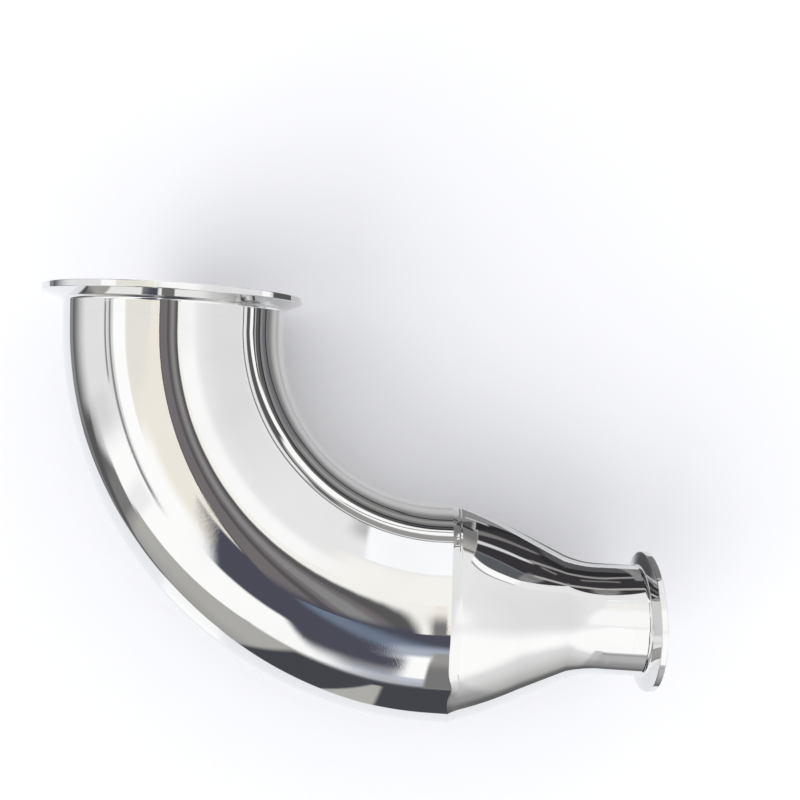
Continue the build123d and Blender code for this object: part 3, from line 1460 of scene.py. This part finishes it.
    def off_centreline(self, sheet: NodeSheet) -> Socket:
        """Distance from the elbow's centreline, seen from above.

        Args:
            sheet: Nodes of the table top.

        Returns:
            The distance in metres.
        """
        place = sheet.split(sheet.place())
        legs = []
        for axis, end in ((0, TubeBend.radius), (1, -TubeBend.start - TubeBend.inlet)):
            leg = sheet.calc("SUBTRACT", sheet.calc("MINIMUM", place[axis], end), end)
            legs.append(sheet.calc("POWER", sheet.calc("ABSOLUTE", leg), 2.0))
        reach = sheet.calc("SQRT", sheet.calc("ADD", *legs))
        return sheet.calc("ABSOLUTE", sheet.calc("SUBTRACT", reach, TubeBend.radius))

    def table(self) -> bpy.types.Object:
        """Builds the pale table top, touching the elbow where it rests.

        Returns:
            The table top.
        """
        depth = min(
            float(self.table_up.dot(vertex.co))
            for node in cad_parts.values()
            for vertex in node.data.vertices
        )
        centre = self.table_up * depth
        turn = Vector((0.0, 0.0, 1.0)).rotation_difference(self.table_up).to_matrix()
        half = self.table_size / 2
        corners = [
            centre + turn @ Vector((x, y, 0.0))
            for x, y in ((-half, -half), (half, -half), (half, half), (-half, half))
        ]
        mesh = bpy.data.meshes.new("table_top")
        mesh.from_pydata([tuple(corner) for corner in corners], [], [(0, 1, 2, 3)])
        top = add_object("table_top", mesh)
        material, sheet = new_material("pale_sheet")
        in_polish = sheet.add("ShaderNodeLightPath").outputs["Is Glossy Ray"]
        # Painted shade: glossy rays see the table darkened in this patch, camera and diffuse rays
        # do not.
        shade = sheet.patch(sheet.place(), self.shade_centre, self.shade_reach)
        shade = sheet.calc("MULTIPLY", shade, in_polish)
        colour = sheet.blend(shade, self.table_colour, self.shade_colour)
        shader = sheet.add("ShaderNodeBsdfDiffuse", colour)
        clear = sheet.add("ShaderNodeBsdfTransparent")
        away = sheet.rise(self.off_centreline(sheet), *self.table_fade)
        share = sheet.calc("MULTIPLY", in_polish, away)
        surface = sheet.cover(share, shader.outputs[0], clear.outputs[0])
        sheet.add("ShaderNodeOutputMaterial", surface)
        mesh.materials.append(material)
        return top


@dataclass(frozen=True)
class Camera:
    """Camera at the photograph's viewing angle."""

    place: Triple = (126.3746 * MM, -28.2814 * MM, 340.9113 * MM)
    right: Triple = (0.99778217, 0.04017234, -0.05307471)
    upward: Triple = (-0.04294785, 0.99771102, -0.05223219)
    lens: float = 32.121
    sensor: float = 36.0

    def make(self) -> bpy.types.Object:
        """Creates the camera and makes it the scene's own.

        Returns:
            The camera.
        """
        data = bpy.data.cameras.new("camera")
        data.lens = self.lens
        data.sensor_width = self.sensor
        data.clip_start = 0.01
        camera = add_object("camera", data)
        right, upward = Vector(self.right), Vector(self.upward)
        back = right.cross(upward)
        turn = Matrix((right, upward, back)).transposed().to_4x4()
        camera.matrix_world = Matrix.Translation(Vector(self.place)) @ turn
        bpy.context.scene.camera = camera
        return camera


@dataclass
class ReducingElbow:
    """The whole fitting: two ferrules, the bend, the weld ring and the reducer."""

    shape: ReducerShape = field(default_factory=ReducerShape)

    def pieces(self) -> list[tuple[bpy.types.Object, str, str]]:
        """Builds every piece.

        Returns:
            Each piece with the node it stands for and its material slot.
        """
        turned = PolishedSteel("turned_ferrule_steel", turned_rings=True).make()
        tube = PolishedSteel("polished_bend_steel", scuffs=BEND_SCUFFS).make()
        weld = PolishedSteel("dressed_weld_steel", colour=(0.78, 0.78, 0.775)).make()
        cone = PolishedSteel("polished_reducer_steel").make()
        start = self.shape.axis_start.centre
        small_face = start + Vector((self.shape.end + Ferrule.length, 0.0, 0.0))
        large = Ferrule(
            piece_name="large_ferrule_turned",
            port=Port(Vector((0.0, 0.0, 0.0)), Vector((0.0, 1.0, 0.0))),
            tube=LARGE,
            finish=turned,
        )
        small = Ferrule(
            piece_name="small_ferrule_turned",
            port=Port(small_face, Vector((1.0, 0.0, 0.0))),
            tube=SMALL,
            finish=turned,
            columns=300,
        )
        return [
            (large.build(), "large_ferrule", "turned_ferrule"),
            (TubeBend(tube).build(), "bend", "polished_bend"),
            (GirthWeld(self.shape, weld).build(), "girth_weld", "dressed_weld"),
            (ConcentricReducer(self.shape, cone).build(), "reducer", "polished_reducer"),
            (small.build(), "small_ferrule", "turned_ferrule"),
        ]


def main() -> None:
    """Builds the studio and the elbow."""
    logging.basicConfig(level=logging.INFO, format="%(name)s: %(message)s")
    scene = bpy.context.scene
    scene.view_settings.view_transform = "Standard"
    scene.cycles.glossy_bounces = MIRROR_BOUNCES
    Camera().make()
    studio = Studio()
    studio.surround()
    studio.key_light()
    studio.table()
    studio.flags()
    for piece, node, slot in ReducingElbow().pieces():
        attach(piece, BODY)
        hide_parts(node)
        log.info("%s stands for %s with %d faces", piece.name, node, len(piece.data.polygons))


if __name__ == "__main__":
    main()
